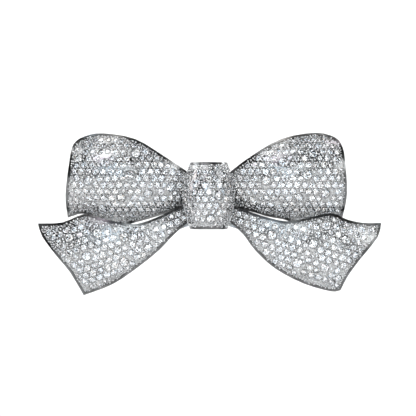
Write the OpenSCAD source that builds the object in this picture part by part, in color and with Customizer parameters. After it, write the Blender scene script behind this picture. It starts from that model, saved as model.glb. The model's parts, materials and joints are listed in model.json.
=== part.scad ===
// Pave bow brooch with a hinged pin and a safety roller catch.
// Units are mm. +X is to the viewer's right, +Z is up, and the front faces -Y.
// The origin is on the pin's axis, behind the middle of the knot, where cloth holds the brooch.
// The parts are drawn around the middle of the knot's back plane, and placed() moves them to it.

/* [Bow] */
// Overall width of the bow, tip to tip
bow_w = 60; // [58:1:62]
// Thickness of the pierced ribbon plates
plate_t = 0.95; // [0.9:0.05:1.05]
// Width of the polished rim, seen from the front
rim_w = 0.42; // [0.35:0.01:0.5]
// How far the rim stands proud of the plate
rim_proud = 0.12; // [0.08:0.01:0.16]
// How deep the rim's side wall reaches below the plate's face
rim_depth = 1.3; // [1.2:0.05:1.4]

/* [Stones] */
// Diameter of the brilliants in the rows
stone_d = 1.24; // [1.16:0.02:1.28]
// Distance between neighbouring brilliants along a row
stone_pitch = 1.36; // [1.36:0.01:1.5]
// Diameter of the single larger brilliants among the rows
large_d = 1.6; // [1.4:0.1:1.7]
// Radius of the smallest brilliant that fills the room between others or along an edge
fill_min_r = 0.4; // [0.4:0.05:0.5]

/* [Knot] */
// Half width of the knot's barrel at its middle
knot_r = 4.45; // [4.3:0.05:4.6]
// Height of the knot, with its end caps
knot_h = 11.6; // [11.2:0.1:12]

/* [Pin] */
// Height of the pin above the knot's middle
pin_z = 3; // [2.9:0.05:3.1]
// Distance of the pin's axis behind the ribbons' back plane
pin_y = 5; // [4.9:0.05:5.2]
// Radius of the pin stem
pin_r = 0.45; // [0.42:0.01:0.46]
// Distance of the hinge axis and of the catch from the knot's middle
fitting_x = 16.5; // [16:0.5:17]

/* [Hidden] */
$fn = 48;
dome_fn = 256;
scale_w = bow_w / 60;

// Closed outlines, as edge curves through these points in the XZ plane at the 60 mm size.
left_loop_top = [[-3.2, 3.9], [-7.6, 6.8], [-12.8, 9.9], [-18.4, 10.9], [-21.6, 10.4],
                 [-23.6, 8.9], [-24.25, 5.4], [-24.9, 0], [-24.7, -3.8]];
left_loop_foot = [[-24.7, -3.8], [-21.8, -3.1], [-18.4, -4.5], [-15.2, -5.1], [-12.3, -4.5],
                  [-8.8, -3.5], [-5.3, -2.2], [-3.2, -1.7]];
right_loop_top = [[3.2, 3.8], [7.2, 6.8], [12.6, 9.9], [18.6, 11], [22, 10.2],
                  [23.3, 8.4], [23.7, 5.4], [24, 0.2], [23.4, -3.7]];
right_loop_foot = [[23.4, -3.7], [21, -3.9], [18, -4.6], [15.4, -4.8], [13, -4.1],
                   [10.2, -3.6], [7.6, -2.8], [5.3, -2.2], [3.2, -1.7]];
left_tail_top = [[-3.1, -1.8], [-5.6, -2.2], [-9.2, -3.8], [-12.3, -4.8], [-15.4, -4.6],
                 [-18.9, -3.8], [-21.5, -3.1], [-25.4, -4.6], [-29.85, -4.8]];
left_tail_end = [[-29.85, -4.8], [-28.9, -7.2], [-25.95, -10.9], [-23.95, -13.3],
                 [-21.75, -17.3]];
left_tail_foot = [[-21.75, -17.3], [-16.6, -15.3], [-11.9, -12.1], [-8.6, -9.4], [-6, -6.7],
                  [-3.1, -4.1]];
right_tail_top = [[3.1, -1.8], [5.6, -2.2], [9.4, -3.5], [13.5, -4.4], [17.2, -3.8],
                  [21.2, -3], [24, -4.1], [27, -4.7], [30.15, -4.7]];
right_tail_end = [[30.15, -4.7], [29.4, -7.2], [26.2, -11], [24.1, -13.9], [22.9, -16.4]];
right_tail_foot = [[22.9, -16.4], [21.2, -16.6], [16.4, -15.2], [11.5, -12.6],
                   [8, -9.4], [5.9, -6.6], [3.1, -4.1]];

// A dome is [middle x, middle z, front y, radius along, radius across, turn, half angle].
left_loop_dome = [-15.5 * scale_w, 3.6, -4.4, 24, 10.5, 0, 32];
right_loop_dome = [15.2 * scale_w, 3.6, -4.4, 24, 10.5, 0, 32];
left_tail_dome = [-16.3 * scale_w, -7.7, -4.45, 36, 14, 19.5, 27];
right_tail_dome = [16.3 * scale_w, -7.7, -4.45, 36, 14, -19.5, 27];
knot_back_y = -2.3;
knot_cap_t = 0.45;
knot_top_r = 3.1;
knot_bulge = knot_r - knot_top_r;
knot_arc_r = (pow(knot_h / 2, 2) + pow(knot_bulge, 2)) / (2 * knot_bulge);
knot_dome = [0, 0, knot_back_y - knot_r, knot_r, knot_arc_r, 0, 90];

// Brilliant proportions, as shares of the stone's radius.
crown_share = 0.31;
pavilion_share = 0.86;
table_share = 0.56;
seat_gap = 0.02;
girdle_sink = 0.05;
row_share = 0.87;
stone_gap = 0.12;
row_min_r = 0.44;
size_spread = 0.1;
size_turn = 0.618;
large_spread = 2.6;
large_turn = 137.5;
large_count = 24;
fill_step = 0.2;
fill_sizes = [0.5, 0.45, fill_min_r];
cut_sides = 8;

// Back frame.
plate_y = 0.5;
plate_back_y = 1.3;
bar_back_y = 2.2;
bar_h = 2;
bar_end_x = 19.8;
post_r = 0.75;
strut_w = 1.6;

// Hinge.
hinge_x = -fitting_x - 1;
ear_t = 0.6;
knuckle_h = 1.6;
knuckle_r = 0.95;
hinge_side_gap = 0.05;
rivet_r = 0.4;
rivet_run_gap = 0.04;
rivet_seat_gap = 0.01;
rivet_head_r = 0.65;
rivet_head_t = 0.25;

// Catch.
catch_l = 2.6;
housing_r = 1.9;
housing_bore_r = 1.5;
roller_r = 1.44;
collar_r = 1.8;
collar_t = 0.4;
collar_gap = 0.05;
slot_w = 1.12;
roller_bore_r = 0.56;
tab_reach = 3.1;
tab_w = 0.9;
tab_angle = -62;
point_start_x = fitting_x + catch_l / 2 + collar_gap + collar_t;
neck_r = pin_r - 0.03;

// ---- outlines ----

function blend(a, b, c, d, t) =
    0.5 * ((2 * b) + (c - a) * t + (2 * a - 5 * b + 4 * c - d) * t * t
           + (3 * b - a - 3 * c + d) * t * t * t);

// Point i of an edge, or its end point carried on in a straight line.
function control(p, i) =
    i < 0 ? 2 * p[0] - p[1] :
    i >= len(p) ? 2 * p[len(p) - 1] - p[len(p) - 2] : p[i];

// A smooth curve through the edge's points, without its last point.
function edge(p, steps) =
    [for (i = [0 : len(p) - 2], k = [0 : steps - 1])
        blend(control(p, i - 1), p[i], p[i + 1], control(p, i + 2), k / steps)];

function reversed(p) = [for (i = [len(p) - 1 : -1 : 0]) p[i]];

function sized(p) = [for (q = p) [q[0] * scale_w, q[1]]];

function turn_sum(p) =
    let (n = len(p))
    [for (i = [0 : n - 1]) p[i][0] * p[(i + 1) % n][1] - p[(i + 1) % n][0] * p[i][1]]
    * [for (i = [0 : n - 1]) 1];

function unit(v) = v / norm(v);

// The outline moved inwards by d, with its corners mitred.
function inset(p, d) =
    let (n = len(p), s = turn_sum(p) > 0 ? 1 : -1)
    [for (i = [0 : n - 1])
        let (a = unit(p[i] - p[(i + n - 1) % n]), b = unit(p[(i + 1) % n] - p[i]),
             na = s * [-a[1], a[0]], nb = s * [-b[1], b[0]])
        p[i] + d * (na + nb) / max(0.5, 1 + na * nb)];

function loop_outline(top, foot) =
    sized(concat(edge(top, 3), edge(foot, 3), [foot[len(foot) - 1]]));

function tail_outline(top, tip, foot) =
    sized(concat(edge(top, 3), edge(tip, 2), edge(foot, 3), [foot[len(foot) - 1]]));

left_loop = loop_outline(left_loop_top, left_loop_foot);
right_loop = loop_outline(right_loop_top, right_loop_foot);
left_tail = tail_outline(left_tail_top, left_tail_end, left_tail_foot);
right_tail = tail_outline(right_tail_top, right_tail_end, right_tail_foot);
knot_side = 20;
knot_field_h = knot_h / 2 - knot_cap_t + rim_w;
knot_field = [[-knot_side, -knot_field_h], [knot_side, -knot_field_h],
              [knot_side, knot_field_h], [-knot_side, knot_field_h]];

// ---- stones ----

function dist_to_line(q, a, b) =
    let (ab = b - a, t = min(1, max(0, (q - a) * ab / (ab * ab))))
    norm(q - a - t * ab);

// Twice the half-turns that the outline makes around q, so above 1 inside it.
function inside(q, p) =
    let (n = len(p))
    abs([for (i = [0 : n - 1])
        let (a = p[i] - q, b = p[(i + 1) % n] - q)
        atan2(a[0] * b[1] - a[1] * b[0], a * b)] * [for (i = [0 : n - 1]) 1]) > 180;

function edge_room(q, p) =
    inside(q, p)
        ? min([for (i = [0 : len(p) - 1]) dist_to_line(q, p[i], p[(i + 1) % len(p)])]) : -1;

// Where the dome's surface at the turns u and v lies in the XZ plane.
function dome_xz(d, u, v) =
    let (r = d[3] - d[4] + d[4] * cos(v), x = r * sin(u), z = d[4] * sin(v))
    [d[0] + x * cos(d[5]) - z * sin(d[5]), d[1] + x * sin(d[5]) + z * cos(d[5])];

function stepped(size) = floor(size * 20 + 0.001) / 20;

// Whether a stone's seat stays on the part of the dome that is there.
function on_face(d, u, v, size) =
    let (r = d[3] - d[4] + d[4] * cos(v))
    cos(v) > 0.3 && abs(u) + asin(min(1, (size + stone_gap) / r)) <= 88;

// The room around a point beside the stones that are there.
function beside(q, there) = min([9, for (s = there) norm(s[3] - q) - s[2]]) - stone_gap;

// Each list of stones holds [u, v, radius, middle] of each one.
// Single larger stones, on a spiral from the middle of the dome.
function large_stones(d, field) =
    [for (k = [0 : large_count - 1])
        let (far = large_spread * sqrt(k + 0.5), u = far * cos(k * large_turn) / d[3] * 180 / PI,
             v = far * sin(k * large_turn) / d[4] * 180 / PI, size = large_d / 2,
             room = edge_room(dome_xz(d, u, v), field) - stone_gap / 2)
        if (room >= size && on_face(d, u, v, size))
            [u, v, size, dome_point(d, u, v, [0, 0, 0])]];

// The rows between them.
// Every row turns by the same step, so the rows stay nested and their stones graduate.
function row_stones(d, field, there) =
    let (row = stone_pitch * row_share, rows = floor(22 / row),
         step = stone_pitch / d[3] * 180 / PI, most = floor(d[6] / step))
    [for (j = [-rows : rows])
        let (v = (j + 0.5) * row / d[4] * 180 / PI, r = d[3] - d[4] + d[4] * cos(v),
             side_room = r * step * PI / 360 - stone_gap / 2)
        for (i = [-most : most])
            let (u = (i + (abs(j) % 2) / 2) * step, middle = dome_point(d, u, v, [0, 0, 0]),
                 cut = stone_d / 2 * (1 - size_spread * (((i + 50) * size_turn + j * j * 0.37) % 1)),
                 room = edge_room(dome_xz(d, u, v), field) - stone_gap / 2,
                 size = min(cut, side_room, stepped(min(room, beside(middle, there)))))
            if (size >= row_min_r && on_face(d, u, v, size)) [u, v, size, middle]];

// Places where a small stone may fit, each as [u, v, room, middle].
function fill_spots(d, field, there) =
    let (step = fill_step / d[3] * 180 / PI, most = floor(d[6] / step),
         row = fill_step / d[4] * 180 / PI, rows = floor(22 / fill_step))
    [for (j = [-rows : rows])
        if (cos(j * row) > 0.3)
            for (i = [-most : most])
                let (middle = dome_point(d, i * step, j * row, [0, 0, 0]),
                     room = edge_room(dome_xz(d, i * step, j * row), field) - stone_gap / 2)
                if (room >= fill_min_r && on_face(d, i * step, j * row, fill_min_r)
                    && beside(middle, there) >= fill_min_r)
                    [i * step, j * row, room, middle]];

// The stones with the ones added, in turn, that have at least the wanted size at their spot.
function filled(there, spots, wanted) =
    [for (i = 0, kept = there, size = 0; i <= len(spots);
          size = i < len(spots) ? stepped(min(spots[i][2], beside(spots[i][3], kept))) : 0,
          kept = size >= wanted
              ? concat(kept, [[spots[i][0], spots[i][1], size, spots[i][3]]]) : kept,
          i = i + 1)
        if (i == len(spots)) each kept];

function stones(d, p) =
    let (field = inset(p, rim_w), large = large_stones(d, field),
         rows = concat(large, row_stones(d, field, large)), spots = fill_spots(d, field, rows),
         most = filled(rows, spots, fill_sizes[0]), more = filled(most, spots, fill_sizes[1]))
    filled(more, spots, fill_sizes[2]);

module on_dome(d, u, v) {
    translate([d[0], d[2] + d[3], d[1]])
    rotate([0, -d[5], 0])
    rotate([0, 0, u])
    translate([0, -(d[3] - d[4]), 0])
    rotate([90 - v, 0, 0])
    translate([0, 0, d[4]])
    children();
}

function turned_x(q, a) = [q[0], q[1] * cos(a) - q[2] * sin(a), q[1] * sin(a) + q[2] * cos(a)];
function turned_y(q, a) = [q[0] * cos(a) + q[2] * sin(a), q[1], q[2] * cos(a) - q[0] * sin(a)];
function turned_z(q, a) = [q[0] * cos(a) - q[1] * sin(a), q[0] * sin(a) + q[1] * cos(a), q[2]];

// The same placing as on_dome, for one point.
function dome_point(d, u, v, q) =
    turned_y(turned_z(turned_x(q + [0, 0, d[4]], 90 - v) - [0, d[3] - d[4], 0], u), -d[5])
    + [d[0], d[2] + d[3], d[1]];

// A single cut brilliant: an eight-sided table, girdle edge and pavilion point.
function cut_ring(r, z, turn) =
    [for (k = [0 : cut_sides - 1]) [r * cos((k + turn) * 360 / cut_sides),
                                    r * sin((k + turn) * 360 / cut_sides), z]];

function cut_points(r) =
    concat(cut_ring(table_share * r, crown_share * r - girdle_sink, 0),
           cut_ring(r, -girdle_sink, 0), [[0, 0, -girdle_sink - pavilion_share * r]]);

function cut_faces(first) =
    let (n = cut_sides)
    concat([[for (k = [n - 1 : -1 : 0]) first + k]],
           [for (k = [0 : n - 1])
               [first + k, first + (k + 1) % n, first + n + (k + 1) % n, first + n + k]],
           [for (k = [0 : n - 1]) [first + n + k, first + n + (k + 1) % n, first + 2 * n]]);

module stone_field(d, p) {
    field = stones(d, p);
    polyhedron(points = [for (s = field) for (q = cut_points(s[2])) dome_point(d, s[0], s[1], q)],
               faces = [for (i = [0 : len(field) - 1])
                           for (f = cut_faces(i * (2 * cut_sides + 1))) f]);
}

// The seat's cutter: a clear bore for the girdle, a cone under the pavilion, and a pierced back.
module seat(r) {
    low = -girdle_sink - seat_gap;
    wide = r + seat_gap;
    hole = 0.5 * r;
    rotate_extrude()
        polygon([[0, -2 * plate_t], [hole, -2 * plate_t],
                 [hole, low - (wide - hole) * pavilion_share], [wide, low], [wide, 1], [0, 1]]);
}

module seat_field(d, p) {
    for (s = stones(d, p))
        on_dome(d, s[0], s[1]) seat(s[2]);
}

// ---- domed ribbons ----

// Everything between two depths below a dome's face; a negative depth stands proud.
module dome_shell(d, from, to) {
    ring_x = d[3] - d[4];
    low_x = max(0.4, ring_x + d[4] * 0.35);
    translate([d[0], d[2] + d[3], d[1]])
    rotate([0, -d[5], 0])
    rotate([0, 0, -90 - d[6]])
    rotate_extrude(angle = 2 * d[6], $fn = dome_fn)
    intersection() {
        translate([ring_x, 0]) difference() {
            rotate(180) circle(d[4] - from, $fn = dome_fn);
            rotate(180) circle(d[4] - to, $fn = dome_fn);
        }
        translate([low_x, -d[4]]) square([d[3] + 2, 2 * d[4]]);
    }
}

module dome_core(d, from) {
    ring_x = d[3] - d[4];
    low_x = max(0.4, ring_x + d[4] * 0.35);
    translate([d[0], d[2] + d[3], d[1]])
    rotate([0, -d[5], 0])
    rotate([0, 0, -90 - d[6]])
    rotate_extrude(angle = 2 * d[6], $fn = dome_fn)
    intersection() {
        translate([ring_x, 0]) rotate(180) circle(d[4] - from, $fn = dome_fn);
        translate([low_x, -d[4]]) square([d[3] + 2, 2 * d[4]]);
    }
}

module upright_prism(y0, y1) {
    translate([0, y1, 0]) rotate([90, 0, 0]) linear_extrude(height = y1 - y0) children();
}

module ribbon_plate(d, p) {
    difference() {
        intersection() {
            dome_shell(d, 0, plate_t);
            upright_prism(-12, 8) polygon(inset(p, rim_w));
        }
        seat_field(d, p);
    }
}

module ribbon_rim(d, p) {
    n = len(p);
    intersection() {
        dome_shell(d, -rim_proud, rim_depth);
        upright_prism(-12, 8)
            polygon(points = concat(p, inset(p, rim_w)),
                    paths = [[for (i = [0 : n - 1]) i], [for (i = [0 : n - 1]) n + i]]);
    }
}

module left_loop_plate() color("silver") ribbon_plate(left_loop_dome, left_loop);
module right_loop_plate() color("silver") ribbon_plate(right_loop_dome, right_loop);
module left_tail_plate() color("silver") ribbon_plate(left_tail_dome, left_tail);
module right_tail_plate() color("silver") ribbon_plate(right_tail_dome, right_tail);
module left_loop_rim() color("gainsboro") ribbon_rim(left_loop_dome, left_loop);
module right_loop_rim() color("gainsboro") ribbon_rim(right_loop_dome, right_loop);
module left_tail_rim() color("gainsboro") ribbon_rim(left_tail_dome, left_tail);
module right_tail_rim() color("gainsboro") ribbon_rim(right_tail_dome, right_tail);
module left_loop_stones() color("azure") stone_field(left_loop_dome, left_loop);
module right_loop_stones() color("azure") stone_field(right_loop_dome, right_loop);
module left_tail_stones() color("azure") stone_field(left_tail_dome, left_tail);
module right_tail_stones() color("azure") stone_field(right_tail_dome, right_tail);

// ---- knot ----

module knot_shell() {
    inner_h = knot_h - 2 * knot_cap_t;
    color("silver")
    difference() {
        intersection() {
            dome_shell(knot_dome, 0, plate_t);
            translate([-10, -12, -inner_h / 2]) cube([20, 20, inner_h]);
        }
        seat_field(knot_dome, knot_field);
    }
}

module knot_stones() color("azure") stone_field(knot_dome, knot_field);

module knot_cap(z) {
    color("gainsboro")
    intersection() {
        dome_core(knot_dome, -rim_proud);
        translate([-10, knot_back_y - 10, z]) cube([20, 10, knot_cap_t]);
    }
}

module knot_top_cap() knot_cap(knot_h / 2 - knot_cap_t);
module knot_bottom_cap() knot_cap(-knot_h / 2);

// ---- back frame ----

knot_plate_w = 5.6;
knot_plate_h = 10.4;
knot_post_z = 3.6;

module knot_back_plate() {
    color("silver")
    translate([-knot_plate_w / 2, plate_y, -knot_plate_h / 2])
        cube([knot_plate_w, plate_back_y - plate_y, knot_plate_h]);
}

module knot_post(z) {
    color("silver")
    intersection() {
        translate([0, plate_y, z]) rotate([90, 0, 0]) cylinder(r = post_r, h = 8, $fn = 96);
        dome_core(knot_dome, plate_t);
    }
}

// The knot's core is only in front of its back edge, so the post's root is added behind it.
module whole_knot_post(z) {
    color("silver")
    union() {
        knot_post(z);
        translate([0, plate_y, z]) rotate([90, 0, 0])
            cylinder(r = post_r, h = plate_y - knot_back_y + 0.3, $fn = 96);
    }
}

module knot_upper_post() whole_knot_post(knot_post_z);
module knot_lower_post() whole_knot_post(-knot_post_z);

module bridge_bar() {
    color("silver")
    translate([-bar_end_x, plate_back_y, pin_z - bar_h / 2])
        cube([2 * bar_end_x, bar_back_y - plate_back_y, bar_h]);
}

// A post from the back frame's front face up to the underside of a domed plate.
module ribbon_post(d, x, z, foot_y) {
    color("silver")
    intersection() {
        translate([x, foot_y, z]) rotate([90, 0, 0]) cylinder(r = post_r, h = 10, $fn = 96);
        dome_core(d, plate_t);
    }
}

module left_loop_outer_post() ribbon_post(left_loop_dome, -14 * scale_w, pin_z, plate_back_y);
module left_loop_inner_post() ribbon_post(left_loop_dome, -7.5, pin_z, plate_back_y);
module right_loop_outer_post() ribbon_post(right_loop_dome, 14 * scale_w, pin_z, plate_back_y);
module right_loop_inner_post() ribbon_post(right_loop_dome, 7.5, pin_z, plate_back_y);

tail_post_x = 13.5;
tail_post_z = -7.8;
strut_root_z = -4.2;

// A flat strut from the knot's back plate out behind one tail, with rounded ends.
module tail_strut(side) {
    run = [side * tail_post_x, tail_post_z - strut_root_z];
    start_x = side * knot_plate_w / 2;
    slope = atan2(run[1], abs(run[0] - start_x));
    long = norm([run[0] - start_x, run[1]]);
    color("silver")
    difference() {
        translate([start_x, plate_back_y, strut_root_z]) mirror([side < 0 ? 1 : 0, 0, 0])
        rotate([0, -slope, 0]) rotate([90, 0, 0]) linear_extrude(height = plate_back_y - plate_y)
        union() {
            translate([-1, -strut_w / 2]) square([long + 1, strut_w]);
            translate([long, 0]) circle(strut_w / 2);
        }
        translate([-knot_plate_w / 2, 0, -knot_plate_h / 2])
            cube([knot_plate_w, 3, knot_plate_h]);
    }
}

module left_tail_strut() tail_strut(-1);
module right_tail_strut() tail_strut(1);
module left_tail_post() ribbon_post(left_tail_dome, -tail_post_x, tail_post_z, plate_y);
module right_tail_post() ribbon_post(right_tail_dome, tail_post_x, tail_post_z, plate_y);

// ---- hinge and pin ----

bracket_w = 2.6;
ear_r = 0.95;
bracket_base_t = 0.5;
ear_low_z = pin_z - knuckle_h / 2 - hinge_side_gap - ear_t;
ear_top_z = pin_z + knuckle_h / 2 + hinge_side_gap;
ear_span = ear_top_z + ear_t - ear_low_z;

module hinge_ear(z) {
    translate([hinge_x, pin_y, z]) cylinder(r = ear_r, h = ear_t);
    translate([hinge_x - ear_r, bar_back_y + bracket_base_t, z])
        cube([2 * ear_r, pin_y - bar_back_y - bracket_base_t, ear_t]);
}

module hinge_bracket() {
    color("silver")
    difference() {
        union() {
            translate([hinge_x - bracket_w / 2, bar_back_y, ear_low_z])
                cube([bracket_w, bracket_base_t, ear_span]);
            hinge_ear(ear_low_z);
            hinge_ear(ear_top_z);
        }
        translate([hinge_x, pin_y, ear_low_z - 1])
            cylinder(r = rivet_r + rivet_seat_gap, h = ear_span + 2);
    }
}

module hinge_rivet() {
    color("gainsboro")
    union() {
        translate([hinge_x, pin_y, ear_low_z]) cylinder(r = rivet_r, h = ear_span);
        translate([hinge_x, pin_y, ear_low_z - rivet_head_t])
            cylinder(r = rivet_head_r, h = rivet_head_t);
        translate([hinge_x, pin_y, ear_top_z + ear_t])
            cylinder(r = rivet_head_r, h = rivet_head_t);
    }
}

module pin_knuckle() {
    color("silver")
    difference() {
        translate([hinge_x, pin_y, pin_z - knuckle_h / 2]) cylinder(r = knuckle_r, h = knuckle_h);
        translate([hinge_x, pin_y, pin_z - knuckle_h])
            cylinder(r = rivet_r + rivet_run_gap, h = 2 * knuckle_h);
    }
}

stem_end_x = fitting_x - catch_l / 2 - collar_gap - collar_t - 0.6;
neck_cone_l = 0.5;
point_l = 4;

module along_x(x) {
    translate([x, pin_y, pin_z]) rotate([0, 90, 0]) children();
}

module pin_stem() {
    color("gainsboro")
    difference() {
        union() {
            along_x(hinge_x) cylinder(r = pin_r, h = stem_end_x - hinge_x);
            along_x(stem_end_x) cylinder(r1 = pin_r, r2 = neck_r, h = neck_cone_l);
            along_x(stem_end_x + neck_cone_l)
                cylinder(r = neck_r, h = point_start_x - stem_end_x - neck_cone_l);
            along_x(point_start_x) cylinder(r1 = neck_r, r2 = 0.06, h = point_l);
        }
        translate([hinge_x, pin_y, pin_z - knuckle_h]) cylinder(r = knuckle_r, h = 2 * knuckle_h);
    }
}

// ---- safety catch ----

module catch_housing() {
    color("silver")
    difference() {
        along_x(fitting_x - catch_l / 2) cylinder(r = housing_r, h = catch_l);
        along_x(fitting_x - catch_l) cylinder(r = housing_bore_r, h = 2 * catch_l);
        translate([fitting_x - catch_l, pin_y, pin_z - slot_w / 2]) cube([2 * catch_l, 4, slot_w]);
    }
}

module catch_base() {
    color("silver")
    difference() {
        union() {
            translate([fitting_x - 1.9, bar_back_y, pin_z - 1.4]) cube([3.8, 0.5, 2.8]);
            translate([fitting_x - catch_l / 2, bar_back_y + 0.5, pin_z - 0.9])
                cube([catch_l, pin_y - bar_back_y - 1.4, 1.8]);
        }
        along_x(fitting_x - catch_l) cylinder(r = housing_r, h = 2 * catch_l);
    }
}

module catch_roller() {
    color("gainsboro")
    difference() {
        union() {
            along_x(fitting_x - catch_l / 2 - 0.2) cylinder(r = roller_r, h = catch_l + 0.4);
            along_x(fitting_x - catch_l / 2 - collar_gap - collar_t)
                cylinder(r = collar_r, h = collar_t);
            along_x(fitting_x + catch_l / 2 + collar_gap) cylinder(r = collar_r, h = collar_t);
        }
        along_x(fitting_x - catch_l) cylinder(r = roller_bore_r, h = 2 * catch_l);
        translate([fitting_x - catch_l, pin_y, pin_z - roller_bore_r])
            cube([2 * catch_l, 4, 2 * roller_bore_r]);
    }
}

module roller_tab() {
    color("gainsboro")
    difference() {
        translate([fitting_x + catch_l / 2 + collar_gap, pin_y, pin_z]) rotate([tab_angle, 0, 0])
        union() {
            translate([0, 1, -tab_w / 2]) cube([collar_t, tab_reach - 1 - tab_w / 2, tab_w]);
            translate([0, tab_reach - tab_w / 2, 0]) rotate([0, 90, 0])
                cylinder(r = tab_w / 2, h = collar_t);
        }
        along_x(fitting_x) cylinder(r = collar_r, h = catch_l);
    }
}

module placed() translate([0, -pin_y, -pin_z]) children();

placed() left_loop_plate();
placed() right_loop_plate();
placed() left_tail_plate();
placed() right_tail_plate();
placed() knot_shell();
placed() left_loop_stones();
placed() right_loop_stones();
placed() left_tail_stones();
placed() right_tail_stones();
placed() knot_stones();
placed() left_loop_rim();
placed() right_loop_rim();
placed() left_tail_rim();
placed() right_tail_rim();
placed() knot_top_cap();
placed() knot_bottom_cap();
placed() knot_back_plate();
placed() knot_upper_post();
placed() knot_lower_post();
placed() bridge_bar();
placed() left_loop_outer_post();
placed() left_loop_inner_post();
placed() right_loop_outer_post();
placed() right_loop_inner_post();
placed() left_tail_strut();
placed() right_tail_strut();
placed() left_tail_post();
placed() right_tail_post();
placed() hinge_bracket();
placed() hinge_rivet();
placed() pin_knuckle();
placed() pin_stem();
placed() catch_base();
placed() catch_housing();
placed() catch_roller();
placed() roller_tab();
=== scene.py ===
import json
import math
import random

import bmesh
import bpy
from mathutils import Matrix, Vector
from mathutils.geometry import delaunay_2d_cdt
from mathutils.kdtree import KDTree


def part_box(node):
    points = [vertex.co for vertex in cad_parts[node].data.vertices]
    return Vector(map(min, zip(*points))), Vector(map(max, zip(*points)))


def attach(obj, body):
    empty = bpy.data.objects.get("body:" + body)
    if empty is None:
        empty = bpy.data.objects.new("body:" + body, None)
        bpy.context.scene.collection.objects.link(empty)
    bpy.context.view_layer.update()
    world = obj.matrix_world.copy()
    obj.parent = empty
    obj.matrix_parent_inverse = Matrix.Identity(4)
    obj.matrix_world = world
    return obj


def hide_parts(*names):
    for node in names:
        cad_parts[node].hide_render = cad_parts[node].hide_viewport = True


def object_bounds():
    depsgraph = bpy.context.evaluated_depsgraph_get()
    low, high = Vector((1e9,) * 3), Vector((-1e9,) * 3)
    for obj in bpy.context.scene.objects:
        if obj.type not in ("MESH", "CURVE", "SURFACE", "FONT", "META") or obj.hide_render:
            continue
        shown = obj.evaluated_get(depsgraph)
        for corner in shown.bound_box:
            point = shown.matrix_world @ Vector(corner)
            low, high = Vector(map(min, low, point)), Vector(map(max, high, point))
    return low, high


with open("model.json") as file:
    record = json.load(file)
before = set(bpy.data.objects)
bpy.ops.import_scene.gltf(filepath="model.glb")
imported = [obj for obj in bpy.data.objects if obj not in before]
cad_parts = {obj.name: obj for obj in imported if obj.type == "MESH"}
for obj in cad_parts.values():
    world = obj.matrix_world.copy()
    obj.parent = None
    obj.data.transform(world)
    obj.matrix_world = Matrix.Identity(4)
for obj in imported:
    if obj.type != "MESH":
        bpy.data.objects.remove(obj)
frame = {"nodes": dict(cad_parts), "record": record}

cad_low, cad_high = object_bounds()
MM = 0.001
scene = bpy.context.scene
nodes = frame["nodes"]

# ---------------------------------------------------------------- camera
LENS_MM = 150.0
SENSOR_MM = 36.0
FRAME_W = 0.0717  # width of the view at the front of the tails, in metres
VIEW_SIDE = -0.00028  # how far the camera stands beside the object's middle
VIEW_RISE = 0.00104  # how far it stands above it
CLIP_NEAR = 0.01
CLIP_FAR = 10


def make_camera():
    cam_data = bpy.data.cameras.new("camera")
    cam_data.lens = LENS_MM
    cam_data.sensor_width = SENSOR_MM
    cam = bpy.data.objects.new("camera", cam_data)
    scene.collection.objects.link(cam)
    middle = (cad_low + cad_high) / 2
    face_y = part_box("left_tail_rim")[0].y
    distance = FRAME_W * LENS_MM / SENSOR_MM
    cam.location = (middle.x + VIEW_SIDE, face_y - distance, middle.z + VIEW_RISE)
    cam.rotation_euler = (math.radians(90), 0, 0)
    cam_data.clip_start = CLIP_NEAR
    cam_data.clip_end = CLIP_FAR
    scene.camera = cam


make_camera()


# ---------------------------------------------------------------- materials
class Nodes:
    """A short way to add nodes and links to one node tree."""

    def __init__(self, tree):
        self.tree = tree

    def add(self, kind, **values):
        n = self.tree.nodes.new(kind)
        for key, value in values.items():
            setattr(n, key, value)
        return n

    def link(self, a, b):
        self.tree.links.new(a, b)


def new_material(name):
    mat = bpy.data.materials.new(name)
    mat.use_nodes = True
    tree = Nodes(mat.node_tree)
    return mat, tree, mat.node_tree.nodes["Principled BSDF"]


def object_coords(tree, scale):
    """Object coordinates, stretched by scale."""
    coords = tree.add("ShaderNodeTexCoord")
    mapping = tree.add("ShaderNodeMapping")
    mapping.inputs["Scale"].default_value = scale
    tree.link(coords.outputs["Object"], mapping.inputs["Vector"])
    return mapping.outputs["Vector"]


def ramp(tree, value, stops):
    """A colour ramp over value, with each stop as (position, colour)."""
    node = tree.add("ShaderNodeValToRGB")
    node.color_ramp.elements[0].position = stops[0][0]
    node.color_ramp.elements[0].color = stops[0][1]
    node.color_ramp.elements[1].position = stops[-1][0]
    node.color_ramp.elements[1].color = stops[-1][1]
    for position, color in stops[1:-1]:
        node.color_ramp.elements.new(position).color = color
    tree.link(value, node.inputs["Fac"])
    return node.outputs["Color"]


COOL_TINT = (0.985, 0.995, 1.0)
CLOUD_SCALE = 380
SCRATCH_SCALE = 900
SCRATCH_DEPTH = 0.00003


def grey(level, tint=(1, 1, 1)):
    return (level * tint[0], level * tint[1], level * tint[2], 1)


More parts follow.
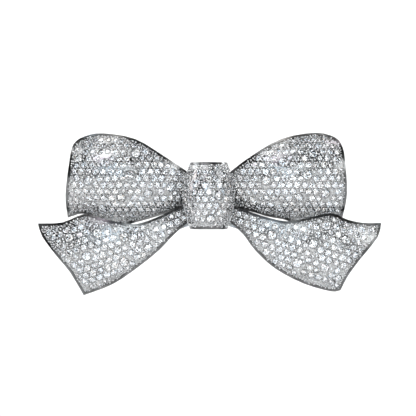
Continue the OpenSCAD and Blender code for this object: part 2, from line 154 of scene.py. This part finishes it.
def white_metal(name, dark, bright, rough_low, rough_high, scratch, bump):
    """White metal with cloudy tarnish, polishing scratches and a hand-worked surface.

    dark and bright are its base levels, rough_low and rough_high its roughness, scratch the
    stretch of the scratches along each axis, and bump their strength.
    """
    mat, tree, bsdf = new_material(name)
    cloud = tree.add("ShaderNodeTexNoise")
    cloud.inputs["Scale"].default_value = CLOUD_SCALE
    cloud.inputs["Detail"].default_value = 5
    tree.link(object_coords(tree, (1, 1, 1)), cloud.inputs["Vector"])
    color = ramp(tree, cloud.outputs["Fac"], [
        (0.35, grey(dark, COOL_TINT)), (0.65, grey(bright, COOL_TINT))])
    tree.link(color, bsdf.inputs["Base Color"])
    lines = tree.add("ShaderNodeTexNoise")
    lines.inputs["Scale"].default_value = SCRATCH_SCALE
    lines.inputs["Detail"].default_value = 3
    tree.link(object_coords(tree, scratch), lines.inputs["Vector"])
    rough = tree.add("ShaderNodeMapRange")
    rough.inputs["From Min"].default_value = 0.3
    rough.inputs["From Max"].default_value = 0.7
    rough.inputs["To Min"].default_value = rough_low
    rough.inputs["To Max"].default_value = rough_high
    tree.link(lines.outputs["Fac"], rough.inputs["Value"])
    tree.link(rough.outputs["Result"], bsdf.inputs["Roughness"])
    dent = tree.add("ShaderNodeBump")
    dent.inputs["Strength"].default_value = bump
    dent.inputs["Distance"].default_value = SCRATCH_DEPTH
    tree.link(lines.outputs["Fac"], dent.inputs["Height"])
    tree.link(dent.outputs["Normal"], bsdf.inputs["Normal"])
    bsdf.inputs["Metallic"].default_value = 1
    return mat


STONE_CELL_SCALE = 600
DIAMOND_IOR = 2.417


def brilliant_material():
    """Near-colourless diamond, with a faint body colour that differs from stone to stone."""
    mat, tree, bsdf = new_material("brilliant")
    cell = tree.add("ShaderNodeTexVoronoi")
    cell.inputs["Scale"].default_value = STONE_CELL_SCALE
    tree.link(object_coords(tree, (1, 1, 1)), cell.inputs["Vector"])
    split = tree.add("ShaderNodeSeparateColor")
    tree.link(cell.outputs["Color"], split.inputs["Color"])
    color = ramp(tree, split.outputs["Red"], [
        (0.0, (0.93, 0.965, 1.0, 1)),
        (0.45, (0.985, 0.99, 1.0, 1)),
        (1.0, (1.0, 0.985, 0.955, 1))])
    tree.link(color, bsdf.inputs["Base Color"])
    bsdf.inputs["Transmission Weight"].default_value = 1
    bsdf.inputs["IOR"].default_value = DIAMOND_IOR
    bsdf.inputs["Roughness"].default_value = 0.0
    return mat


# The rims' near-black base levels (0.12 to 0.22), far below the other parts of the same white
# metal, are painted shade: they paint in the dark lines that polished rims show from dark
# reflections.
rim_metal = white_metal("rim_metal", 0.12, 0.22, 0.14, 0.28, (1, 6, 1), 0.12)
plate_metal = white_metal("plate_metal", 0.31, 0.5, 0.12, 0.3, (1, 1, 1), 0.35)
frame_metal = white_metal("frame_metal", 0.36, 0.56, 0.16, 0.36, (0.25, 3, 3), 0.25)
fitting_metal = white_metal("fitting_metal", 0.42, 0.6, 0.08, 0.24, (0.4, 3, 3), 0.2)
pin_metal = white_metal("pin_metal", 0.5, 0.66, 0.06, 0.2, (0.15, 4, 4), 0.12)
grain_metal = white_metal("grain_metal", 0.78, 0.88, 0.06, 0.16, (1, 1, 1), 0.1)
brilliant = brilliant_material()

LOOKS = {  # the metal of each of the record's material slots
    "rim_metal": rim_metal,
    "plate_metal": plate_metal,
    "frame_metal": frame_metal,
    "fitting_metal": fitting_metal,
    "pin_metal": pin_metal,
    "roller_metal": fitting_metal,
}
for part in frame["record"]["subparts"]:
    look = LOOKS.get(part["material_slot"])
    if look:
        mesh = nodes[part["node"]].data
        mesh.materials.clear()
        mesh.materials.append(look)


# ---------------------------------------------------------------- worked edges
WELD = 0.000002  # points nearer than this are one point, in metres
SMOOTH_DEG = 28.0  # edges sharper than this stay edges


def soften_group():
    """Geometry nodes that weld a CAD mesh and shade it smooth, apart from its real edges."""
    group = bpy.data.node_groups.new("soften", "GeometryNodeTree")
    group.interface.new_socket("Geometry", in_out="INPUT", socket_type="NodeSocketGeometry")
    group.interface.new_socket("Geometry", in_out="OUTPUT", socket_type="NodeSocketGeometry")
    tree = Nodes(group)
    start = tree.add("NodeGroupInput")
    merge = tree.add("GeometryNodeMergeByDistance")
    merge.inputs["Distance"].default_value = WELD
    plain = tree.add("GeometryNodeRemoveAttribute")
    plain.inputs["Name"].default_value = "custom_normal"
    faces = tree.add("GeometryNodeSetShadeSmooth", domain="FACE")
    faces.inputs["Shade Smooth"].default_value = True
    angle = tree.add("GeometryNodeInputMeshEdgeAngle")
    sharp = tree.add("FunctionNodeCompare", operation="GREATER_THAN")
    sharp.inputs["B"].default_value = math.radians(SMOOTH_DEG)
    edges = tree.add("GeometryNodeSetShadeSmooth", domain="EDGE")
    edges.inputs["Shade Smooth"].default_value = False
    end = tree.add("NodeGroupOutput")
    tree.link(start.outputs[0], merge.inputs["Geometry"])
    tree.link(merge.outputs["Geometry"], plain.inputs["Geometry"])
    tree.link(plain.outputs["Geometry"], faces.inputs["Geometry"])
    tree.link(angle.outputs["Unsigned Angle"], sharp.inputs["A"])
    tree.link(sharp.outputs["Result"], edges.inputs["Selection"])
    tree.link(faces.outputs["Geometry"], edges.inputs["Geometry"])
    tree.link(edges.outputs["Geometry"], end.inputs[0])
    return group


def soften(node, group, round_mm):
    """Smooth shading and finely rounded edges, as filing and polishing leave them."""
    obj = nodes[node]
    obj.modifiers.new("soften", "NODES").node_group = group
    bevel = obj.modifiers.new("polish", "BEVEL")
    bevel.width = round_mm * MM
    bevel.segments = 2
    bevel.limit_method = "ANGLE"
    bevel.angle_limit = math.radians(SMOOTH_DEG)
    bevel.harden_normals = True


EDGE_ROUNDING_MM = {
    "rim_metal": 0.06,
    "frame_metal": 0.1,
    "fitting_metal": 0.07,
    "pin_metal": 0.05,
    "roller_metal": 0.06,
}
softening = soften_group()
for part in frame["record"]["subparts"]:
    rounding = EDGE_ROUNDING_MM.get(part["material_slot"])
    if rounding:
        soften(part["node"], softening, rounding)


# ---------------------------------------------------------------- stones
FIELDS = [  # each field of stones, with the plate that carries it
    ("left_loop_stones", "left_loop_plate"),
    ("right_loop_stones", "right_loop_plate"),
    ("left_tail_stones", "left_tail_plate"),
    ("right_tail_stones", "right_tail_plate"),
    ("knot_stones", "knot_shell"),
]
BELT_SHARE = 0.9  # points further out than this share of a stone's reach lie on its girdle


def merged_copy(obj):
    """The object's mesh with its coincident points welded."""
    bm = bmesh.new()
    bm.from_mesh(obj.data)
    bmesh.ops.remove_doubles(bm, verts=bm.verts, dist=WELD)
    return bm


def islands(bm):
    """The vertices and faces of each separate solid."""
    seen = set()
    for start in bm.verts:
        if start in seen:
            continue
        stack, verts = [start], []
        seen.add(start)
        while stack:
            v = stack.pop()
            verts.append(v)
            for e in v.link_edges:
                w = e.other_vert(v)
                if w not in seen:
                    seen.add(w)
                    stack.append(w)
        yield verts, {f for v in verts for f in v.link_faces}


def stone_frame(verts, faces):
    """(girdle centre, axis out of the table, radius) of one CAD stone."""
    groups = {}
    for f in faces:
        key = tuple(round(c, 2) for c in f.normal)
        groups.setdefault(key, []).append(f)
    flat = max(groups.values(), key=lambda g: sum(f.calc_area() for f in g))
    axis = flat[0].normal.copy()
    middle = sum((v.co for v in verts), Vector()) / len(verts)
    reach = [((v.co - middle) - axis * (v.co - middle).dot(axis)).length for v in verts]
    radius = max(reach)
    belt = [v.co for v, r in zip(verts, reach) if r > BELT_SHARE * radius]
    centre = sum(belt, Vector()) / len(belt)
    return centre, axis, radius


def stones_of(node):
    """Every stone of one CAD node, in a fixed order, as stone_frame gives it."""
    bm = merged_copy(nodes[node])
    found = [stone_frame(v, f) for v, f in islands(bm)]
    bm.free()
    return sorted(found, key=lambda s: (round(s[0].x, 6), round(s[0].z, 6)))


# A brilliant's proportions, for a girdle of radius 1.
TABLE = 0.56  # radius of the table
CROWN = 0.31  # height of the crown
PAVILION = 0.86  # depth of the pavilion
GIRDLE = 0.035  # half the girdle's thickness
STAR = 0.76  # radius at which the star facets meet the girdle facets
LOWER = 0.27  # radius at which the lower girdle facets end
EIGHTH = math.radians(45)


def polar(r, a, z):
    """The point at radius r, angle a and height z."""
    return Vector((r * math.cos(a), r * math.sin(a), z))


def brilliant_cut():
    """A 57-facet round brilliant of radius 1 with its girdle on z = 0, as points and faces."""
    slant = math.cos(EIGHTH / 2)
    points, faces = [], []

    def ring(count, r, z, turn):
        first = len(points)
        points.extend(polar(r, (k + turn) * 2 * math.pi / count, z) for k in range(count))
        return [first + k for k in range(count)]

    table = ring(8, TABLE, CROWN, 0)
    star = ring(8, STAR, GIRDLE + (CROWN - GIRDLE) * (1 - STAR * slant) / (1 - TABLE), 0.5)
    top = ring(16, 1, GIRDLE, 0)
    low = ring(16, 1, -GIRDLE, 0)
    half = ring(8, LOWER, -GIRDLE - (PAVILION - GIRDLE) * (1 - LOWER * slant), 0.5)
    culet = len(points)
    points.append(Vector((0, 0, -PAVILION)))
    faces.append(table)
    for k in range(8):
        n, p = (k + 1) % 8, (k - 1) % 8
        g, h, gn = 2 * k, 2 * k + 1, (2 * k + 2) % 16
        faces.append([table[k], star[k], table[n]][::-1])
        faces.append([table[k], star[p], top[g], star[k]])
        faces.append([star[k], top[g], top[h]])
        faces.append([star[k], top[h], top[gn]])
        faces.append([top[g], low[g], low[h], top[h]])
        faces.append([top[h], low[h], low[gn], top[gn]])
        faces.append([low[g], half[k], low[h]])
        faces.append([low[h], half[k], low[gn]])
        faces.append([low[g], half[p], culet, half[k]])
    return points, faces


CUT_POINTS, CUT_FACES = brilliant_cut()
TILT_DEG = 6.0
TILT_MAX_DEG = 9.0
STONE_SHARE = 0.96  # radius of a brilliant as a share of its CAD stone's


def mesh_object(name, points, faces, material):
    """A new object from points and faces, with its faces turned outwards."""
    mesh = bpy.data.meshes.new(name)
    mesh.from_pydata(points, [], faces)
    bm = bmesh.new()
    bm.from_mesh(mesh)
    bmesh.ops.recalc_face_normals(bm, faces=bm.faces)
    bm.to_mesh(mesh)
    bm.free()
    mesh.materials.append(material)
    obj = bpy.data.objects.new(name, mesh)
    scene.collection.objects.link(obj)
    return obj


def hand_tilt(rng):
    """How far one stone leans from square about one axis, as hand setting leaves it."""
    return math.radians(max(-TILT_MAX_DEG, min(TILT_MAX_DEG, rng.gauss(0, TILT_DEG))))


def brilliants(node, stones, seed):
    """One brilliant in the place of each CAD stone, all as one piece."""
    rng = random.Random(seed)
    points, faces = [], []
    for centre, axis, radius in stones:
        tilt = Matrix.Rotation(hand_tilt(rng), 3, "X")
        lean = Matrix.Rotation(hand_tilt(rng), 3, "Y")
        spin = Matrix.Rotation(rng.uniform(0, 2 * math.pi), 3, "Z")
        turn = axis.to_track_quat("Z", "Y").to_matrix() @ tilt @ lean @ spin
        size = radius * STONE_SHARE
        first = len(points)
        points.extend(centre + turn @ (p * size) for p in CUT_POINTS)
        faces.extend([first + i for i in f] for f in CUT_FACES)
    obj = mesh_object(node.replace("stones", "brilliants"), points, faces, brilliant)
    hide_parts(node)
    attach(obj, "bow")


# ---------------------------------------------------------------- grains
GRAIN_MIN = 0.00009  # smallest grain between three stones
GRAIN_MAX = 0.00024
GRAIN_LAP = 0.00003  # how far a grain reaches over the stones it holds
GRAIN_STRAY = 0.0012  # furthest that a grain may stand from the middle of its stones
EDGE_GRAIN = 0.00017  # grain beside the outermost stones
REACH = 0.0026  # stones further apart than this share no grain
FLAT = 1e-12  # three stones in a line have no circle between them
GRAIN_RINGS = 3
GRAIN_SIDES = 8
GRAIN_RISE = 1.15  # a grain's height over its radius, before it is sunk
GRAIN_SINK = 0.35  # how deep a grain's foot is sunk, over its radius


def touching_circle(a, b, c):
    """The circle that fits between three flat circles of nearly equal size, as (centre, radius)."""
    (p, ra), (q, rb), (r, rc) = a, b, c
    d = 2 * (p.x * (q.y - r.y) + q.x * (r.y - p.y) + r.x * (p.y - q.y))
    if abs(d) < FLAT:
        return None
    pp, qq, rr = p.dot(p) - ra * ra, q.dot(q) - rb * rb, r.dot(r) - rc * rc
    x = (pp * (q.y - r.y) + qq * (r.y - p.y) + rr * (p.y - q.y)) / d
    y = (pp * (r.x - q.x) + qq * (p.x - r.x) + rr * (q.x - p.x)) / d
    centre = Vector((x, y))
    room = min((centre - p).length - ra, (centre - q).length - rb, (centre - r).length - rc)
    return centre, room


def grain_places(stones):
    """Where beads are raised between the stones, each as (place, axis, radius)."""
    flat = [Vector((s[0].x, s[0].z)) for s in stones]
    result = delaunay_2d_cdt(flat, [], [], 0, 1e-9)
    places = []
    edges = {}
    for tri in result[2]:
        ids = [result[3][i][0] for i in tri]
        group = [stones[i] for i in ids]
        longest = max((group[i][0] - group[i - 1][0]).length for i in range(3))
        if longest > REACH:
            continue
        middle = sum((g[0] for g in group), Vector()) / 3
        axis = sum((g[1] for g in group), Vector()).normalized()
        frame_x = axis.orthogonal().normalized()
        frame_y = axis.cross(frame_x)
        local = [(Vector(((g[0] - middle).dot(frame_x), (g[0] - middle).dot(frame_y))), g[2])
                 for g in group]
        found = touching_circle(*local)
        for i in range(3):
            key = tuple(sorted((ids[i], ids[i - 1])))
            edges.setdefault(key, []).append(ids[i - 2])
        if not found:
            continue
        centre, room = found
        if centre.length < GRAIN_STRAY and room > GRAIN_MIN * 0.8:
            places.append((middle + frame_x * centre.x + frame_y * centre.y, axis,
                           min(GRAIN_MAX, room + GRAIN_LAP)))
    for (i, j), others in edges.items():
        if len(others) != 1:
            continue
        a, b, c = stones[i], stones[j], stones[others[0]]
        gap = b[0] - a[0]
        axis = (a[1] + b[1]).normalized()
        out = gap.cross(axis).normalized()
        if out.dot(c[0] - a[0]) > 0:
            out = -out
        both = a[2] + b[2]
        reach = max(0.0, both ** 2 / 4 + EDGE_GRAIN * both + EDGE_GRAIN ** 2 - gap.dot(gap) / 4)
        places.append(((a[0] + b[0]) / 2 + out * math.sqrt(reach), axis, EDGE_GRAIN))
    return places


def tree_of(places):
    """A search tree over the places' middles."""
    tree = KDTree(len(places))
    for i, place in enumerate(places):
        tree.insert(place[0], i)
    tree.balance()
    return tree


def room_beside(spot, places, tree, reach):
    """How far a spot is from the edges of the round things near it."""
    near = tree.find_range(spot, reach)
    return min([reach] + [far - places[i][2] for _, i, far in near])


FILL_TRIES = 9000
FILL_MIN = 0.00008  # smallest bead, in metres
FILL_MAX = 0.0002
FILL_LAP = 0.00002  # how far a bead may reach over a stone
FRONT_COS = 0.75  # plate faces turned further than this from the nearest stone's axis take no bead
STONE_LOOK = 0.0014  # how far away a stone can still leave a bead less room
GRAIN_LOOK = 0.0006  # how far away a grain can


def fill_places(plate, stones, grains_there, seed):
    """Small beads over the metal that the stones leave bare, each as (place, axis, radius)."""
    rng = random.Random(seed)
    mesh = nodes[plate].data
    mesh.calc_loop_triangles()
    stone_tree = tree_of(stones)
    grain_tree = tree_of(grains_there)
    tris, weights = [], []
    for tri in mesh.loop_triangles:
        near = stone_tree.find(Vector(tri.center))
        if tri.normal.dot(stones[near[1]][1]) > FRONT_COS:
            tris.append(tri)
            weights.append(tri.area)
    added = []
    cells = {}
    for tri in rng.choices(tris, weights, k=FILL_TRIES):
        a, b = rng.random(), rng.random()
        if a + b > 1:
            a, b = 1 - a, 1 - b
        p, q, r = (mesh.vertices[i].co for i in tri.vertices)
        spot = p + (q - p) * a + (r - p) * b
        room = min(room_beside(spot, stones, stone_tree, STONE_LOOK) + FILL_LAP,
                   room_beside(spot, grains_there, grain_tree, GRAIN_LOOK))
        if room < FILL_MIN:
            continue
        cell = tuple(int(math.floor(c / (2 * FILL_MAX))) for c in spot)
        around = [other for x in (-1, 0, 1) for y in (-1, 0, 1) for z in (-1, 0, 1)
                  for other in cells.get((cell[0] + x, cell[1] + y, cell[2] + z), [])]
        room = min([FILL_MAX, room] + [(other[0] - spot).length - other[2] for other in around])
        if room < FILL_MIN:
            continue
        bead = (spot, tri.normal.copy(), room)
        cells.setdefault(cell, []).append(bead)
        added.append(bead)
    return added


def grains(name, places):
    """Small raised beads, one low dome each, with a burnished foot."""
    points, faces = [], []
    for place, axis, radius in places:
        turn = axis.to_track_quat("Z", "Y").to_matrix()
        first = len(points)
        for r in range(GRAIN_RINGS):
            angle = math.radians(90) * r / GRAIN_RINGS
            for k in range(GRAIN_SIDES):
                spot = polar(radius * math.cos(angle), 2 * math.pi * k / GRAIN_SIDES,
                             radius * (GRAIN_RISE * math.sin(angle) - GRAIN_SINK))
                points.append(place + turn @ spot)
        top = len(points)
        points.append(place + turn @ Vector((0, 0, radius * (GRAIN_RISE - GRAIN_SINK))))
        rings = [[first + r * GRAIN_SIDES + k for k in range(GRAIN_SIDES)]
                 for r in range(GRAIN_RINGS)]
        for k in range(GRAIN_SIDES):
            n = (k + 1) % GRAIN_SIDES
            faces.extend([low[k], low[n], high[n], high[k]] for low, high in zip(rings, rings[1:]))
            faces.append([rings[-1][k], rings[-1][n], top])
        faces.append(rings[0][::-1])
    obj = mesh_object(name, points, faces, grain_metal)
    for poly in obj.data.polygons:
        poly.use_smooth = True
    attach(obj, "bow")


STONE_SEED = 100
BEAD_SEED = 200

for number, (node, plate) in enumerate(FIELDS):
    stones = stones_of(node)
    brilliants(node, stones, STONE_SEED + number)
    places = grain_places(stones)
    places += fill_places(plate, stones, places, BEAD_SEED + number)
    grains(node.replace("stones", "grains"), places)


# ---------------------------------------------------------------- studio
FLOOR_DROP = 0.02  # the floor lies this far under the object
FLOOR_FRONT = -0.9
FLOOR_BEND = 0.45  # where the floor starts to curve up
FLOOR_BACK = 0.8
FLOOR_TOP = 1.2
FLOOR_HALF = 1.5
BEND_STEPS = 16


def make_floor():
    """A pale floor that curves up into a backdrop."""
    low = cad_low.z - FLOOR_DROP
    bend = FLOOR_BACK - FLOOR_BEND
    profile = [(FLOOR_FRONT, low), (FLOOR_BEND, low)]
    for k in range(1, BEND_STEPS + 1):
        a = math.radians(90) * k / BEND_STEPS
        profile.append((FLOOR_BEND + bend * math.sin(a), low + bend * (1 - math.cos(a))))
    profile.append((FLOOR_BACK, FLOOR_TOP))
    points = [Vector((side * FLOOR_HALF, y, z)) for y, z in profile for side in (-1, 1)]
    faces = [[2 * i, 2 * i + 1, 2 * i + 3, 2 * i + 2] for i in range(len(profile) - 1)]
    mat, tree, bsdf = new_material("pale_floor")
    noise = tree.add("ShaderNodeTexNoise")
    noise.inputs["Scale"].default_value = 40
    tree.link(object_coords(tree, (1, 1, 1)), noise.inputs["Vector"])
    tree.link(ramp(tree, noise.outputs["Fac"], [(0.3, grey(0.93)), (0.7, grey(0.95))]),
              bsdf.inputs["Base Color"])
    bsdf.inputs["Roughness"].default_value = 0.8
    bsdf.inputs["Specular IOR Level"].default_value = 0.1
    obj = mesh_object("floor", points, faces, mat)
    for poly in obj.data.polygons:
        poly.use_smooth = True


def area_light(name, place, size, power, aim=None):
    """A softbox of power watts at place, aimed at the object unless aim says otherwise."""
    data = bpy.data.lights.new(name, "AREA")
    data.shape = "RECTANGLE"
    data.size, data.size_y = size
    data.energy = power
    obj = bpy.data.objects.new(name, data)
    obj.location = place
    target = Vector(aim) if aim else (cad_low + cad_high) / 2
    obj.rotation_euler = (target - Vector(place)).to_track_quat("-Z", "Y").to_euler()
    obj.visible_camera = False
    scene.collection.objects.link(obj)


WORLD_STRENGTH = 0.67
PANEL_SCALE = 5.0


def make_world():
    """White for what the camera sees, and panels from dark to bright for what the stones see."""
    world = bpy.data.worlds.new("studio")
    scene.world = world
    world.use_nodes = True
    tree = Nodes(world.node_tree)
    background = world.node_tree.nodes["Background"]
    coords = tree.add("ShaderNodeTexCoord")
    cells = tree.add("ShaderNodeTexVoronoi")
    cells.inputs["Scale"].default_value = PANEL_SCALE
    tree.link(coords.outputs["Generated"], cells.inputs["Vector"])
    split = tree.add("ShaderNodeSeparateColor")
    tree.link(cells.outputs["Color"], split.inputs["Color"])
    panels = ramp(tree, split.outputs["Green"], [
        (0.0, grey(0.0)),
        (0.66, grey(0.01)),
        (0.68, grey(0.3)),
        (0.84, grey(0.4)),
        (0.86, grey(6.0)),
        (1.0, grey(6.0))])
    tints = ramp(tree, split.outputs["Blue"], [
        (0.0, (0.7, 0.86, 1.0, 1)),
        (0.25, (0.9, 0.97, 1.0, 1)),
        (0.6, (1.0, 1.0, 0.99, 1)),
        (0.85, (0.98, 0.99, 1.0, 1)),
        (0.92, (1.0, 0.86, 0.72, 1)),
        (1.0, (0.86, 0.78, 1.0, 1))])
    tinted = tree.add("ShaderNodeMix", data_type="RGBA", blend_type="MULTIPLY")
    tinted.inputs["Factor"].default_value = 1
    tree.link(panels, tinted.inputs["A"])
    tree.link(tints, tinted.inputs["B"])
    path = tree.add("ShaderNodeLightPath")
    mix = tree.add("ShaderNodeMix", data_type="RGBA")
    tree.link(path.outputs["Is Camera Ray"], mix.inputs["Factor"])
    tree.link(tinted.outputs["Result"], mix.inputs["A"])
    mix.inputs["B"].default_value = grey(1.0 / WORLD_STRENGTH)
    tree.link(mix.outputs["Result"], background.inputs["Color"])
    background.inputs["Strength"].default_value = WORLD_STRENGTH


WALL_AIM = (0.0, FLOOR_BACK, 0.0)
make_floor()
make_world()
area_light("key", (-0.18, -0.45, 0.45), (0.12, 0.12), 0.3)
area_light("fill", (0.5, -0.5, 0.15), (0.2, 0.3), 0.12)
area_light("top", (0.0, 0.05, 0.7), (0.4, 0.3), 0.3)
for side_name, side in (("wall_left", -1), ("wall_right", 1)):
    area_light(side_name, (side * 0.5, 0.3, 0.5), (0.4, 0.6), 2.8, aim=WALL_AIM)
scene.view_settings.view_transform = "Standard"
scene.view_settings.look = "None"
